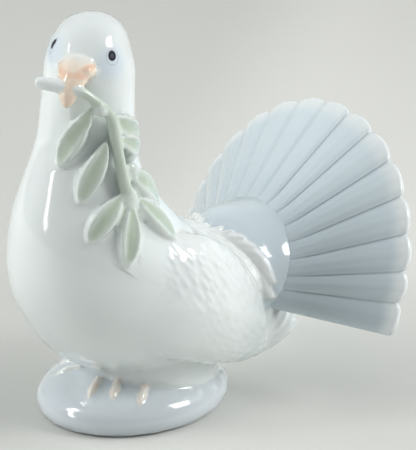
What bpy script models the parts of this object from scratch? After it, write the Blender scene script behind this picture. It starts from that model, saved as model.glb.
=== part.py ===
# Glazed porcelain fantail dove with an olive sprig in its beak, on a low oval mound.
# Metres, +Z up. The origin is at the centre of the mound's flat underside.
# The bird faces -Y and its left side is towards +X.
import math

import bmesh
import bpy
from mathutils import Matrix, Vector
from mathutils.bvhtree import BVHTree

# Mound
PLINTH_LENGTH = 0.0735
PLINTH_WIDTH = 0.0630
PLINTH_HEIGHT = 0.0170
PLINTH_EDGE_HEIGHT = 0.0050
PLINTH_FOOT_INSET = 0.0018
BELLY_SINK = 0.0035

# Feathered thighs between the belly and the mound
THIGH_WIDTH = 0.0490
THIGH_LENGTH = 0.0500
THIGH_MIDDLE_Y = 0.0075

# Bird
BIRD_HEIGHT = 0.1355
BIRD_PARTS = 135.5
HEAD_TURN_DEG = 40
HEAD_ROLL_DEG = 7
BODY_SIDES = 32
BODY_RINGS = 26
WING_LEAN = 0.16
PRIMARY_GROOVE = 0.45
PRIMARY_GROOVES = 6

# Tail fan
FAN_RADIUS = 0.0838
FAN_SIDE_SHORTENING = 0.13
FAN_LEAN_DEG = -18.1
FAN_SWEEP_DEG = 28.7
FAN_EDGE_THICKNESS = 0.0030
FAN_ROOT_THICKNESS = 0.0060
FAN_ROOT_RADIUS = 0.0120
FEATHER_STEPS_DEG = (11.1, 12.7, 13.0, 12.2, 11.8, 11.1, 8.8)
FEATHER_RELIEF = 0.0011
FEATHER_TIP_DEPTH = 0.0030
SIDE_FEATHER_ROOT_WIDTH = 0.0052
SIDE_FEATHER_TIP_WIDTH = 0.0072

# Beak
BEAK_LENGTH = 0.0178
BEAK_WIDTH = 0.0128
BEAK_TIP_WIDTH = 0.0030
BEAK_RIDGE = 0.12
CERE_WIDTH = 0.0138
CERE_HEIGHT = 0.0062
CERE_DEPTH = 0.0084

# Sprig
STEM_DIAMETER = 0.0040
LEAF_WIDTH = 0.0076
LEAF_THICKNESS = 0.0026
LEAF_RIM = 0.0006
LEAF_LIFT = 0.0006

# Feet
TOE_DIAMETER = 0.0026
TOE_LENGTH = 0.0092
TOE_KNUCKLE = 0.14
TOE_TAPER = 0.4

PART = BIRD_HEIGHT / BIRD_PARTS
SEAT = PLINTH_HEIGHT - BELLY_SINK


def at(x, y, z):
    """A place on the bird, given in its own parts above the belly."""
    return Vector((x * PART, y * PART, SEAT + z * PART))


def material(name, colour, roughness):
    """A plain glazed finish."""
    finish = bpy.data.materials.new(name)
    finish.use_nodes = True
    shader = finish.node_tree.nodes["Principled BSDF"]
    shader.inputs["Base Color"].default_value = (*colour, 1)
    shader.inputs["Roughness"].default_value = roughness
    shader.inputs["Metallic"].default_value = 0
    finish.diffuse_color = (*colour, 1)
    return finish


def mesh_object(name, points, faces, finish):
    """A closed solid from points and faces, with its faces turned outwards."""
    mesh = bpy.data.meshes.new(name)
    mesh.from_pydata([tuple(p) for p in points], [], faces)
    mesh.materials.append(finish)
    form = bmesh.new()
    form.from_mesh(mesh)
    bmesh.ops.recalc_face_normals(form, faces=form.faces)
    form.to_mesh(mesh)
    form.free()
    mesh.shade_smooth()
    item = bpy.data.objects.new(name, mesh)
    bpy.context.scene.collection.objects.link(item)
    return item


def loft(name, rings, finish, start=None, end=None):
    """Skin a row of rings, closed at each end on a point or on a flat cap."""
    points = [p for ring in rings for p in ring]
    sides = len(rings[0])
    faces = []
    for i in range(len(rings) - 1):
        low = i * sides
        for j in range(sides):
            k = (j + 1) % sides
            faces.append((low + j, low + k, low + sides + k, low + sides + j))
    last = (len(rings) - 1) * sides
    if start is None:
        faces.append(tuple(reversed(range(sides))))
    else:
        points.append(start)
        tip = len(points) - 1
        faces += [(tip, (j + 1) % sides, j) for j in range(sides)]
    if end is None:
        faces.append(tuple(last + j for j in range(sides)))
    else:
        points.append(end)
        tip = len(points) - 1
        faces += [(tip, last + j, last + (j + 1) % sides) for j in range(sides)]
    return mesh_object(name, points, faces, finish)


def smooth_row(rows, t):
    """Read a table of stations at t from 0 to 1 along a smooth curve through them."""
    last = len(rows) - 1
    place = min(max(t, 0), 1) * last
    i = min(int(place), last - 1)
    f = place - i
    a, b, c, d = (rows[min(max(i + k, 0), last)] for k in (-1, 0, 1, 2))
    return [
        0.5 * (2 * q + (r - p) * f + (2 * p - 5 * q + 4 * r - s) * f**2 + (3 * q - p - 3 * r + s) * f**3)
        for p, q, r, s in zip(a, b, c, d)
    ]


# Body and head
# Each station gives the back's y and z, the front's y and z, the half width, and the turn of the section.
BODY_STATIONS = (
    (-11.2, 135.1, -18.2, 135.1, 3.7, HEAD_TURN_DEG),
    (-7.2, 133.3, -22.3, 133.3, 8.1, HEAD_TURN_DEG),
    (-3.0, 129.6, -27.0, 129.6, 11.6, HEAD_TURN_DEG),
    (-0.6, 124.0, -31.0, 124.0, 13.9, HEAD_TURN_DEG),
    (0.2, 117.0, -32.0, 116.5, 15.7, HEAD_TURN_DEG),
    (0.0, 106.0, -33.3, 105.0, 16.0, 25.0),
    (-0.6, 94.5, -35.0, 91.5, 17.3, 10.0),
    (0.4, 83.0, -40.0, 78.5, 19.8, 0.0),
    (5.0, 72.5, -44.2, 66.0, 24.5, 0.0),
    (12.0, 62.5, -46.2, 53.0, 29.5, 0.0),
    (20.0, 54.0, -46.0, 40.0, 33.0, 0.0),
    (29.0, 48.0, -42.3, 28.5, 34.5, 0.0),
    (38.0, 44.0, -36.0, 17.5, 34.0, 0.0),
    (47.0, 41.0, -26.0, 8.5, 32.0, 0.0),
    (54.0, 37.5, -9.0, 2.0, 29.0, 0.0),
    (59.0, 33.0, 13.0, 1.0, 25.0, 0.0),
    (61.5, 28.0, 34.0, 4.0, 19.0, 0.0),
    (62.0, 23.0, 50.0, 10.0, 11.0, 0.0),
)
CROWN = (0.0, -14.7, 135.5)
VENT = (0.0, 58.5, 15.5)


def body_ring(t):
    """One section of the body, from the crown at 0 to the tail root at 1."""
    back_y, back_z, front_y, front_z, half_width, turn = smooth_row(BODY_STATIONS, t)
    back, front = at(0, back_y, back_z), at(0, front_y, front_z)
    middle, half = (back + front) / 2, (front - back) / 2
    twist = Matrix.Rotation(math.radians(turn), 3, "Z")
    half = twist @ half
    side = twist @ Vector((half_width * PART, 0, 0))
    ring = []
    for j in range(BODY_SIDES):
        angle = math.tau * j / BODY_SIDES
        ring.append(middle + side * math.cos(angle) + half * math.sin(angle))
    return ring


def make_body(finish):
    rings = [body_ring(i / (BODY_RINGS - 1)) for i in range(BODY_RINGS)]
    return loft("body_form", rings, finish, at(*CROWN), at(*VENT))


def ellipsoid(name, middle, radii, finish, turn=None, sides=18, rows=10):
    """A ball stretched along its own three axes."""
    turn = turn or Matrix.Identity(3)
    rings = []
    for i in range(1, rows):
        lat = math.pi * i / rows
        ring = []
        for j in range(sides):
            lon = math.tau * j / sides
            ball = Vector((math.cos(lon) * math.sin(lat), math.sin(lon) * math.sin(lat), math.cos(lat)))
            ring.append(middle + turn @ Vector(b * r for b, r in zip(ball, radii)))
        rings.append(ring)
    top = middle + turn @ Vector((0, 0, radii[2]))
    foot = middle + turn @ Vector((0, 0, -radii[2]))
    return loft(name, rings, finish, top, foot)


# Mound
def make_plinth(finish):
    sides, rows = 36, 7
    inset = PLINTH_FOOT_INSET / (PLINTH_WIDTH / 2)
    rise = PLINTH_HEIGHT - PLINTH_EDGE_HEIGHT
    levels = [(0, 1 - inset), (PLINTH_EDGE_HEIGHT / 2, 1 - inset / 4)]
    for i in range(rows):
        angle = math.pi / 2 * i / rows
        levels.append((PLINTH_EDGE_HEIGHT + rise * math.sin(angle), math.cos(angle)))
    rings = []
    for height, share in reversed(levels):
        ring = []
        for j in range(sides):
            angle = math.tau * j / sides
            x = PLINTH_WIDTH / 2 * share * math.cos(angle)
            y = PLINTH_LENGTH / 2 * share * math.sin(angle)
            ring.append(Vector((x, y, height)))
        rings.append(ring)
    return loft("mound_form", rings, finish, Vector((0, 0, PLINTH_HEIGHT)))


def make_thighs(finish):
    """The belly's feathers where they widen and run down onto the mound."""
    sides = 36
    levels = ((PLINTH_HEIGHT * 0.5, 1.02), (SEAT, 1.0), (SEAT * 1.5, 0.985), (SEAT * 2.2, 0.94))
    rings = []
    for height, share in levels:
        ring = []
        for j in range(sides):
            angle = math.tau * j / sides
            x = THIGH_WIDTH / 2 * share * math.cos(angle)
            y = THIGH_MIDDLE_Y + THIGH_LENGTH / 2 * share * math.sin(angle)
            ring.append(Vector((x, y, height)))
        rings.append(ring)
    return loft("thigh_form", rings, finish)


# Wings
# Each station gives y, the lower and upper z, the outer x and the half thickness.
WING_STATIONS = (
    (-33.0, 39.0, 49.0, 24.0, 4.0),
    (-29.0, 31.0, 54.0, 28.5, 6.5),
    (-22.0, 25.0, 57.0, 31.5, 8.0),
    (-11.0, 17.5, 59.0, 35.0, 9.0),
    (2.0, 12.0, 58.5, 37.0, 9.5),
    (17.0, 6.5, 54.0, 37.0, 10.0),
    (30.0, 3.0, 45.0, 34.0, 10.0),
    (38.0, 2.0, 35.0, 31.0, 9.0),
)
WING_SHOULDER = (17.0, -37.0, 45.0)


def make_wing(side, finish):
    rings = []
    count = 16
    for i in range(count):
        y, low, high, outer, thick = smooth_row(WING_STATIONS, i / (count - 1))
        ring = []
        for j in range(16):
            angle = math.tau * j / 16
            lean = WING_LEAN * (high - low) * math.sin(angle)
            x = outer - thick + thick * math.cos(angle) - max(lean, 0)
            z = (low + high) / 2 + (high - low) / 2 * math.sin(angle)
            ring.append(at(side * x, y, z))
        if side > 0:
            ring.reverse()
        rings.append(ring)
    x, y, z = WING_SHOULDER
    return loft(f"wing_form_{'left' if side > 0 else 'right'}", rings, finish, at(side * x, y, z))


# Tail fan
FAN_ROOT = (0.0, 34.4, 25.1)
HUMP_MIDDLE = (0.0, 46.2, 30.5)
HUMP_RADII = (23.5, 18.5, 21.5)


def fan_axes():
    lean = math.radians(FAN_LEAN_DEG)
    along = Vector((0, math.cos(lean), math.sin(lean)))
    up = Vector((0, -math.sin(lean), math.cos(lean)))
    return along, up


def fan_frame(phi):
    """The direction of a feather at angle phi in the fan, and the front normal there."""
    along, up = fan_axes()
    sweep = math.radians(FAN_SWEEP_DEG)
    out = Vector((math.cos(phi), 0, 0)) + up * math.sin(phi)
    return out * math.cos(sweep) + along * math.sin(sweep), out * math.sin(sweep) - along * math.cos(sweep)


def feather_angles():
    """The middle angle and the two edges of each feather, from the left side to the right."""
    offsets = [0.0]
    for step in FEATHER_STEPS_DEG:
        offsets.append(offsets[-1] + step)
    middles = [90 - o for o in reversed(offsets)] + [90 + o for o in offsets[1:]]
    edges = [(a + b) / 2 for a, b in zip(middles, middles[1:])]
    edges.insert(0, middles[0] - FEATHER_STEPS_DEG[-1] / 2)
    edges.append(middles[-1] + FEATHER_STEPS_DEG[-1] / 2)
    return middles, edges


def make_fan(finish):
    middles, edges = feather_angles()
    across = (-1, -0.72, -0.3, 0.3, 0.72)
    columns = []
    for middle, low, high in zip(middles, edges, edges[1:]):
        for q in across:
            columns.append((low + (high - low) * (q + 1) / 2, q, 0))
    columns.append((edges[-1], 1, 0))
    reach_out = len([q for q in across if q < 0])
    for c in range(reach_out):
        columns[c] = (middles[0], across[c], -across[c])
        columns[-1 - c] = (middles[-1], -across[c], across[c])
    rows = 6
    root = at(*FAN_ROOT)
    front, back = [], []
    for angle, q, spread in columns:
        phi = math.radians(angle)
        way, normal = fan_frame(phi)
        aside = way.cross(normal) * spread
        length = FAN_RADIUS * (1 + FAN_SIDE_SHORTENING * (math.sin(phi) - 1))
        length -= FEATHER_TIP_DEPTH * (1 - math.sqrt(max(0, 1 - q * q * 0.96)))
        for i in range(rows):
            f = i / (rows - 1)
            reach = FAN_ROOT_RADIUS + (length - FAN_EDGE_THICKNESS / 3 - FAN_ROOT_RADIUS) * f
            half = (FAN_ROOT_THICKNESS + (FAN_EDGE_THICKNESS - FAN_ROOT_THICKNESS) * f) / 2
            crest = FEATHER_RELIEF * (0.5 - q * q) * min(1, f * 3)
            width = SIDE_FEATHER_ROOT_WIDTH + (SIDE_FEATHER_TIP_WIDTH - SIDE_FEATHER_ROOT_WIDTH) * f
            place = root + way * reach + aside * width
            front.append(place + normal * (half + crest))
            back.append(place - normal * (half + crest / 2))
        front.append(root + way * length + aside * SIDE_FEATHER_TIP_WIDTH)
    count = len(columns)
    step = rows + 1
    points = front + back
    shift = len(front)

    def f_at(c, r):
        return c * step + r

    def b_at(c, r):
        return shift + c * rows + r if r < rows else c * step + rows

    faces = []
    for c in range(count - 1):
        for r in range(rows):
            faces.append((f_at(c, r), f_at(c, r + 1), f_at(c + 1, r + 1), f_at(c + 1, r)))
            faces.append((b_at(c, r), b_at(c + 1, r), b_at(c + 1, r + 1), b_at(c, r + 1)))
        faces.append((f_at(c, 0), f_at(c + 1, 0), b_at(c + 1, 0), b_at(c, 0)))
    for c, flip in ((0, False), (count - 1, True)):
        rim = [f_at(c, r) for r in range(rows + 1)] + [b_at(c, r) for r in reversed(range(rows))]
        faces.append(tuple(reversed(rim)) if flip else tuple(rim))
    return mesh_object("fan_form", points, faces, finish)


# Beak
BEAK_ROOT = (8.6, -25.0, 122.0)
BEAK_TIP = (15.5, -34.6, 109.3)
# Share of the length, width share, depth share and how far the ridge bows out.
BEAK_STATIONS = (
    (0.00, 0.92, 0.66, 0.00),
    (0.25, 0.90, 0.66, 0.05),
    (0.45, 0.74, 0.60, 0.08),
    (0.65, 0.48, 0.50, 0.09),
    (0.85, 0.27, 0.36, 0.06),
    (0.97, 0.14, 0.20, 0.02),
)


def head_axes():
    """The way the head looks, its left side, and its up, with the roll of the head."""
    turn = Matrix.Rotation(math.radians(HEAD_TURN_DEG), 3, "Z")
    look = turn @ Vector((0, -1, 0))
    left = turn @ Vector((1, 0, 0))
    roll = Matrix.Rotation(math.radians(HEAD_ROLL_DEG), 3, look)
    return look, roll @ left, roll @ Vector((0, 0, 1))


def beak_spine():
    """The root of the beak, its direction, its left side and the way its ridge faces."""
    look, left, _ = head_axes()
    root = at(*BEAK_ROOT)
    way = (at(*BEAK_TIP) - root).normalized()
    left = (left - way * left.dot(way)).normalized()
    ridge = left.cross(way).normalized()
    return root, way, left, ridge if ridge.dot(look) > 0 else -ridge


def make_beak(finish):
    root, way, left, ridge = beak_spine()
    rings = []
    count = 9
    for i in range(count):
        along, width, depth, bow = smooth_row(BEAK_STATIONS, i / (count - 1))
        middle = root + way * (BEAK_LENGTH * along) + ridge * (BEAK_LENGTH * bow)
        half_w = (BEAK_TIP_WIDTH + (BEAK_WIDTH - BEAK_TIP_WIDTH) * width) / 2 * min(1, width * 4)
        half_d = BEAK_WIDTH * depth / 2
        ring = []
        for j in range(14):
            angle = math.tau * j / 14
            peak = 1 + BEAK_RIDGE * max(0, math.sin(angle)) ** 3
            ring.append(middle + left * half_w * math.cos(angle) + ridge * half_d * peak * math.sin(angle))
        rings.append(ring)
    return loft("beak_form", rings, finish, root - way * BEAK_TIP_WIDTH, root + way * BEAK_LENGTH)


def make_cere(side, finish):
    """One of the two swellings over the nostrils, side by side across the root of the beak."""
    root, way, left, _ = beak_spine()
    look = head_axes()[0]
    turn = Matrix((left, look, left.cross(look))).transposed()
    middle = root + way * (CERE_HEIGHT / 2) + left * (side * CERE_WIDTH / 4) + look * (CERE_DEPTH / 8)
    radii = (CERE_WIDTH / 4, CERE_DEPTH / 2, CERE_HEIGHT / 2)
    return ellipsoid(f"cere_form_{'left' if side > 0 else 'right'}", middle, radii, finish, turn, 12, 8)


# Sprig
# The stem runs from its cut end through the beak and down the left of the breast.
# Each station gives x, y, z and the share of the stem's diameter there.
STEM_PATH = (
    (5.9, -40.7, 117.0, 0.90),
    (12.5, -34.6, 115.8, 1.20),
    (16.8, -30.1, 114.4, 0.95),
    (18.8, -25.7, 110.8, 0.95),
    (20.0, -20.4, 104.7, 1.05),
    (20.6, -18.8, 96.2, 1.05),
    (22.4, -17.6, 84.4, 1.05),
    (23.6, -16.2, 75.8, 1.25),
)
# Base, tip, width share and how far the leaf stands off the breast.
LEAVES = (
    ((18.0, -26.2, 109.0), (9.0, -35.0, 86.6), 1.00, 1.6),
    ((19.2, -21.4, 96.1), (18.5, -32.6, 75.5), 1.00, 1.4),
    ((22.8, -18.9, 77.4), (23.8, -32.8, 63.2), 1.00, 0.9),
    ((23.4, -17.4, 74.4), (26.2, -22.0, 65.7), 0.55, 0.4),
    ((23.9, -15.7, 73.6), (31.0, -21.4, 54.0), 1.00, 0.8),
    ((23.0, -12.8, 74.7), (25.6, 2.2, 57.3), 1.00, 0.8),
    ((20.9, -15.2, 85.2), (18.4, 1.4, 69.4), 1.15, 0.9),
    ((19.4, -20.4, 104.6), (13.6, -5.4, 92.6), 1.00, 0.7),
    ((20.2, -17.4, 96.6), (14.4, -5.2, 87.6), 0.90, 0.6),
)


def make_stem(finish):
    count, sides = 20, 10
    stations = [smooth_row(STEM_PATH, i / (count - 1)) for i in range(count)]
    path = [at(*station[:3]) for station in stations]
    rings = []
    for i, middle in enumerate(path):
        way = (path[min(i + 1, count - 1)] - path[max(i - 1, 0)]).normalized()
        side = way.cross(Vector((0.3, -0.2, 1))).normalized()
        other = way.cross(side)
        radius = STEM_DIAMETER / 2 * stations[i][3]
        ring = []
        for j in range(sides):
            angle = math.tau * j / sides
            ring.append(middle + (side * math.cos(angle) + other * math.sin(angle)) * radius)
        rings.append(ring)
    return loft("stem_form", rings, finish)


# Across the leaf: the share of the half width, the share of the thickness and the share of the rim.
LEAF_SECTION = (
    (-1.0, 0.05, 0.0),
    (-0.78, 0.42, 1.0),
    (-0.35, 0.40, -0.6),
    (0.0, 0.42, 0.3),
    (0.35, 0.40, -0.6),
    (0.78, 0.42, 1.0),
    (1.0, 0.05, 0.0),
    (0.7, -0.5, 0.0),
    (0.0, -0.6, 0.0),
    (-0.7, -0.5, 0.0),
)


def make_leaf(index, skin, finish):
    """A cupped leaf with raised rims, following the skin of the breast below it."""
    base, tip, width, lift = LEAVES[index]
    base, tip = at(*base), at(*tip)
    foot, out, _, _ = skin.find_nearest(base)
    stand = max((base - foot).dot(out), 0)
    rings = []
    count = 8
    ends = []
    for i in range(count + 2):
        u = i / (count + 1)
        place = base.lerp(tip, u)
        near, normal, _, _ = skin.find_nearest(place)
        low = stand * (1 - u) + LEAF_LIFT + LEAF_THICKNESS / 2 * lift * math.sin(math.pi * min(u * 1.1, 1))
        middle = near + normal * low
        if i in (0, count + 1):
            ends.append(middle)
            continue
        half = LEAF_WIDTH / 2 * width * math.sin(math.pi * u**1.15) ** 0.6
        way = (tip - base).normalized()
        across = normal.cross(way).normalized()
        ring = []
        for a, h, rim in LEAF_SECTION:
            ring.append(middle + across * half * a + normal * (LEAF_THICKNESS * h + LEAF_RIM * rim))
        rings.append(ring)
    return loft(f"leaf_form_{index + 1}", rings, finish, *ends)


# Feet
# The root of each toe that shows beneath the breast, and its heading from straight ahead.
TOES = ((5.8, -18.0, 35), (11.2, -13.2, 43), (18.4, -6.2, 41))


def make_toe(index, side, finish):
    x, y, heading = TOES[index]
    way = Matrix.Rotation(math.radians(side * heading), 3, "Z") @ Vector((0, -1, 0))
    root = Vector((side * x * PART, y * PART, 0))
    rings = []
    count = 8
    for i in range(count):
        u = i / (count - 1)
        place = root + way * (TOE_LENGTH * u)
        rho = math.hypot(place.x / (PLINTH_WIDTH / 2), place.y / (PLINTH_LENGTH / 2))
        rise = PLINTH_HEIGHT - PLINTH_EDGE_HEIGHT
        place.z = PLINTH_EDGE_HEIGHT + rise * math.sqrt(max(0, 1 - rho * rho)) + TOE_DIAMETER * 0.18
        knuckle = 1 + TOE_KNUCKLE * math.cos(math.tau * 1.5 * u)
        size = TOE_DIAMETER / 2 * knuckle * (1 - TOE_TAPER * u**6)
        side_way = way.cross(Vector((0, 0, 1)))
        ring = []
        for j in range(10):
            angle = math.tau * j / 10
            ring.append(place + (side_way * math.cos(angle) + Vector((0, 0, 1)) * math.sin(angle)) * size)
        rings.append(ring)
    tip = place + way * TOE_DIAMETER * 0.35
    tip.z -= TOE_DIAMETER * 0.15
    name = f"toe_form_{'left' if side > 0 else 'right'}_{index + 1}"
    return loft(name, rings, finish, root + Vector((0, 0, PLINTH_HEIGHT * 0.7)), tip)


# Folded primaries behind each wing
PRIMARY_STATIONS = (
    (22.0, 3.0, 18.0, 28.0, 6.0),
    (34.0, 1.8, 20.0, 27.8, 6.0),
    (41.0, 2.6, 20.0, 27.4, 5.0),
    (47.0, 4.4, 19.5, 26.8, 4.0),
    (52.5, 8.0, 17.5, 26.0, 3.0),
)
PRIMARY_TIP = (24.6, 56.6, 13.0)


def make_primaries(side, finish):
    rings = []
    count = 9
    for i in range(count):
        y, low, high, outer, thick = smooth_row(PRIMARY_STATIONS, i / (count - 1))
        ring = []
        for j in range(16):
            angle = math.tau * j / 16
            groove = PRIMARY_GROOVE * math.cos(PRIMARY_GROOVES * angle) if abs(math.sin(angle)) < 0.9 else 0
            x = outer - thick + (thick + groove) * math.cos(angle)
            z = (low + high) / 2 + (high - low) / 2 * math.sin(angle)
            ring.append(at(side * x, y, z))
        if side > 0:
            ring.reverse()
        rings.append(ring)
    x, y, z = PRIMARY_TIP
    name = f"primaries_form_{'left' if side > 0 else 'right'}"
    return loft(name, rings, finish, None, at(side * x, y, z))


def unite(base, others):
    """Fuse the other forms into the base, so that the figure is one casting."""
    for other in others:
        other.hide_render = True
        other.display_type = "WIRE"
        join = base.modifiers.new(f"join_{other.name}", "BOOLEAN")
        join.operation = "UNION"
        join.solver = "EXACT"
        join.object = other


def main():
    for item in list(bpy.data.objects):
        bpy.data.objects.remove(item, do_unlink=True)
    white = material("white_glaze", (0.86, 0.88, 0.87), 0.12)
    blue = material("pale_blue_glaze", (0.70, 0.76, 0.82), 0.12)
    lilac = material("lavender_glaze", (0.66, 0.68, 0.76), 0.12)
    green = material("sage_glaze", (0.60, 0.68, 0.58), 0.12)
    peach = material("peach_glaze", (0.86, 0.66, 0.56), 0.12)
    base = make_body(white)
    base.name = "dove_figurine"
    skin = BVHTree.FromObject(base, bpy.context.evaluated_depsgraph_get())
    forms = [make_plinth(lilac), make_thighs(white), make_fan(blue)]
    forms.append(ellipsoid("hump_form", at(*HUMP_MIDDLE), [radius * PART for radius in HUMP_RADII], blue))
    for side in (1, -1):
        forms += [make_primaries(side, white), make_wing(side, white), make_cere(side, peach)]
        forms += [make_toe(index, side, peach) for index in range(len(TOES))]
    forms += [make_beak(peach), make_stem(green)]
    forms += [make_leaf(index, skin, green) for index in range(len(LEAVES))]
    unite(base, forms)


main()
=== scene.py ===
import math

import bmesh
import bpy
import numpy as np
from mathutils import Matrix, Vector
from mathutils.bvhtree import BVHTree


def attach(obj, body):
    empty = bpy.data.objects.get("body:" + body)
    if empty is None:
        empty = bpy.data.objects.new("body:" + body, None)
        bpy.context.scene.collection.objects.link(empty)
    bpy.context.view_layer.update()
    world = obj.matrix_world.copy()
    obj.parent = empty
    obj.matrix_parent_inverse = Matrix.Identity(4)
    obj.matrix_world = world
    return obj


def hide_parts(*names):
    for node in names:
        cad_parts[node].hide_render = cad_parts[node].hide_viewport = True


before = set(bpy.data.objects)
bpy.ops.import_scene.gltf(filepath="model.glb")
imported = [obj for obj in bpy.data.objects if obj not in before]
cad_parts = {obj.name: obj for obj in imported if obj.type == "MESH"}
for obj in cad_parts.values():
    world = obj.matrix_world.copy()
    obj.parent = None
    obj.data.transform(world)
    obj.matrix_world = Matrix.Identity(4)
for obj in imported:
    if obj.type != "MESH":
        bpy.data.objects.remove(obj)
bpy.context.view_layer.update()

# Sizes and places are in millimetres, in the CAD's frame, until a mesh is made.
MM = 0.001
VOXEL = 0.00042
TRIANGLES = 190000

MOUND_WIDTH, MOUND_LENGTH, MOUND_HEIGHT = 63.0, 73.5, 17.0
MOUND_EDGE, MOUND_TUCK = 5.0, 1.8
BELLY_SINK = 3.5
# The bird's own heights are counted from this level, where its belly sinks into the mound.
SEAT = MOUND_HEIGHT - BELLY_SINK

# The paint values that each point of a form carries. The last is the share of relief that the glaze keeps.
PAINTS = ("green", "peach", "blue", "lilac", "detail")


# Shared helpers
def smooth_rows(rows, count):
    """Read a table of stations at evenly spaced places along a smooth curve through them."""
    rows = np.asarray(rows, float)
    last = len(rows) - 1
    place = np.linspace(0, last, count)
    i = np.minimum(place.astype(int), last - 1)
    f = (place - i)[:, None]
    p, q, r, s = (rows[np.clip(i + k, 0, last)] for k in (-1, 0, 1, 2))
    return 0.5 * (2 * q + (r - p) * f + (2 * p - 5 * q + 4 * r - s) * f**2 + (3 * q - p - 3 * r + s) * f**3)


def smoothstep(a, b, v):
    t = np.clip((v - a) / (b - a), 0, 1)
    return t * t * (3 - 2 * t)


def bell(v, width):
    """A smooth hill, 1 where v is 0."""
    return np.exp(-((v / width) ** 2))


def unit(v):
    v = np.asarray(v, float)
    return v / np.maximum(np.linalg.norm(v, axis=-1, keepdims=True), 1e-9)


def turned(degrees):
    """The matrix of a turn about the upright axis."""
    return np.array(Matrix.Rotation(math.radians(degrees), 3, "Z"))


def lift(rows):
    """Move places on the bird from its own heights to heights above the table."""
    rows = np.array(rows, float)
    rows[..., 2] += SEAT
    return rows


def tint(shape=(), **shares):
    """Paint values by name, for one point or for an array of them."""
    values = np.zeros((*shape, len(PAINTS)))
    for name, share in shares.items():
        values[..., PAINTS.index(name)] = share
    return values


def add_object(name, data):
    item = bpy.data.objects.new(name, data)
    bpy.context.scene.collection.objects.link(item)
    return item


def mesh_from(name, points, faces):
    mesh = bpy.data.meshes.new(name)
    mesh.from_pydata((np.asarray(points) * MM).tolist(), [], faces)
    form = bmesh.new()
    form.from_mesh(mesh)
    bmesh.ops.recalc_face_normals(form, faces=form.faces)
    form.to_mesh(mesh)
    form.free()
    mesh.shade_smooth()
    return add_object(name, mesh)


def set_values(mesh, name, values):
    """Store one number for each point, for the material to read."""
    layer = mesh.attributes.new(name, "FLOAT", "POINT")
    layer.data.foreach_set("value", values.astype(np.float32))


class Form:
    """Closed surfaces gathered for one piece, with paint values at each point."""

    def __init__(self):
        self.points, self.faces, self.paint = [], [], []
        self.count = 0

    def loft(self, rings, start=None, end=None, paint=0.0):
        """Skin over rings of points, closed by triangles round a middle point at each end."""
        rings = np.asarray(rings, float)
        n, sides, _ = rings.shape
        values = np.broadcast_to(paint, (n, sides, len(PAINTS)))
        self.points.append(rings.reshape(-1, 3))
        self.paint.append(values.reshape(-1, len(PAINTS)))
        grid = self.count + np.arange(n * sides).reshape(n, sides)
        ahead = np.roll(grid, -1, axis=1)
        self.faces += np.stack([grid[:-1], ahead[:-1], ahead[1:], grid[1:]], -1).reshape(-1, 4).tolist()
        self.count += n * sides
        for row, cap, pair in ((0, start, (ahead[0], grid[0])), (-1, end, (grid[-1], ahead[-1]))):
            middle = rings[row].mean(axis=0) if cap is None else np.asarray(cap, float)
            self.points.append(middle[None])
            self.paint.append(values[row].mean(axis=0)[None])
            self.faces += np.stack([np.full(sides, self.count), *pair], -1).tolist()
            self.count += 1

    def arrays(self):
        return np.concatenate(self.points), np.concatenate(self.paint)

    def paint_reader(self):
        """Give a function that reads the paint on the face nearest to a place."""
        points, paint = self.arrays()
        tree = BVHTree.FromPolygons([tuple(p) for p in points], self.faces)

        def paint_at(place):
            near, _, index, _ = tree.find_nearest(place)
            corners = self.faces[index]
            weight = 1 / (np.linalg.norm(points[corners] - near, axis=1) + 0.05) ** 2
            return weight @ paint[corners] / weight.sum()

        return paint_at


def ball(middle, radii, sides, rows, turn=None):
    """Rings of an ellipsoid from pole to pole, and its two poles."""
    turn = np.eye(3) if turn is None else turn
    lat = (np.pi * np.arange(1, rows) / rows)[:, None]
    lon = np.linspace(0, math.tau, sides, endpoint=False)[None]
    unit_ball = np.stack([np.cos(lon) * np.sin(lat), np.sin(lon) * np.sin(lat), np.cos(lat) + 0 * lon], -1)
    rings = np.asarray(middle) + (unit_ball * np.asarray(radii)) @ turn.T
    pole = turn @ np.array([0, 0, radii[2]])
    return rings, middle + pole, middle - pole


def oval(half_width, half_length, middle_y, height, sides=120):
    """A level oval ring round the mound's upright axis, or behind it."""
    angle = np.linspace(0, math.tau, sides, endpoint=False)
    x, y = half_width * np.cos(angle), middle_y + half_length * np.sin(angle)
    return np.stack([x, y, np.full(sides, height)], -1)


# Body. Each station is a ring: y and z at the back, y and z at the front, half width, turn in degrees.
BODY_STATIONS = (
    (-11.2, 135.1, -18.2, 135.1, 3.7, 40),
    (-7.2, 133.3, -22.3, 133.3, 8.1, 40),
    (-3.0, 129.6, -27.0, 129.6, 11.6, 40),
    (-0.6, 124.0, -31.0, 124.0, 13.9, 40),
    (0.2, 117.0, -32.0, 116.5, 15.7, 40),
    (0.0, 106.0, -33.3, 105.0, 16.0, 25),
    (-0.6, 94.5, -35.0, 91.5, 17.3, 10),
    (0.4, 83.0, -40.0, 78.5, 19.8, 0),
    (5.0, 72.5, -44.2, 66.0, 24.5, 0),
    (12.0, 62.5, -46.2, 53.0, 29.5, 0),
    (20.0, 54.0, -46.0, 40.0, 33.0, 0),
    (29.0, 48.0, -42.3, 28.5, 34.5, 0),
    (38.0, 44.0, -36.0, 17.5, 34.0, 0),
    (47.0, 41.0, -26.0, 8.5, 32.0, 0),
    (54.0, 37.5, -9.0, 2.0, 29.0, 0),
    (59.0, 33.0, 13.0, 1.0, 25.0, 0),
    (61.5, 28.0, 34.0, 4.0, 19.0, 0),
    (62.0, 23.0, 50.0, 10.0, 11.0, 0),
)
CROWN, REAR = lift((0, -14.7, 135.5)), lift((0, 58.5, 15.5))


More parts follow.
